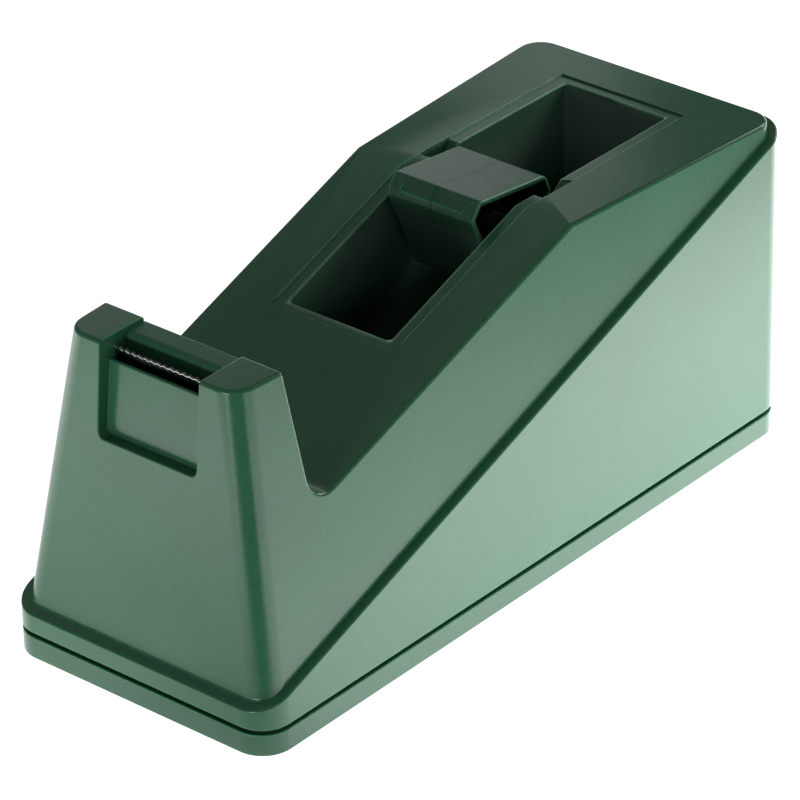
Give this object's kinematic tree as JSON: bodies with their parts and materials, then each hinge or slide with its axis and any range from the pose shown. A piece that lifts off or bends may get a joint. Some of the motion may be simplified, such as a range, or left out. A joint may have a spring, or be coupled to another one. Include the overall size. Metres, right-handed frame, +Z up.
{
  "type": "tape dispenser",
  "caption": "Weighted desktop tape dispenser with a serrated cutter between two ears, an open roll well and a lift-out triangular hub.",
  "frame": {"origin": "middle of the footprint, at desk level under the feet", "axes": "+Z up, +Y towards the rear, the cutter at the -Y end, +X to the right when facing the cutter"},
  "size_m": [0.0628, 0.1542, 0.0703],
  "materials": {
    "moulded_shell": "fine matte moulded texture, dark green",
    "moulded_base": "fine matte moulded texture, dark green",
    "moulded_hub": "smooth, slightly scuffed, dark green",
    "blade_steel": "punched and brushed",
    "axle_steel": "drawn rod",
    "screw_steel": "zinc plated",
    "ballast_iron": "raw",
    "foam_rubber": "closed-cell foam",
    "foot_rubber": "matte"
  },
  "bodies": {
    "stand": {"housing": "moulded_shell", "base_tray": "moulded_base", "cutter_block": "moulded_shell", "cutter_blade": "blade_steel", "ballast_left": "ballast_iron", "ballast_right": "ballast_iron", "ballast_pad_left": "foam_rubber", "ballast_pad_right": "foam_rubber", "base_screws": "screw_steel", "foot_front_left": "foot_rubber", "foot_front_right": "foot_rubber", "foot_rear_left": "foot_rubber", "foot_rear_right": "foot_rubber"},
    "axle": {"axle": "axle_steel"},
    "hub": {"hub_left": "moulded_hub", "hub_right": "moulded_hub"}
  },
  "joints": [
    {"name": "axle_lift", "type": "slide", "parent": "stand", "child": "axle", "axis": [0, 0.8192, 0.5736], "range_m": [0, 0.038]},
    {"name": "hub_spin", "type": "hinge", "parent": "axle", "child": "hub", "pos_m": [0, 0.01825, 0.0613], "axis": [1, 0, 0], "continuous": true}
  ]
}
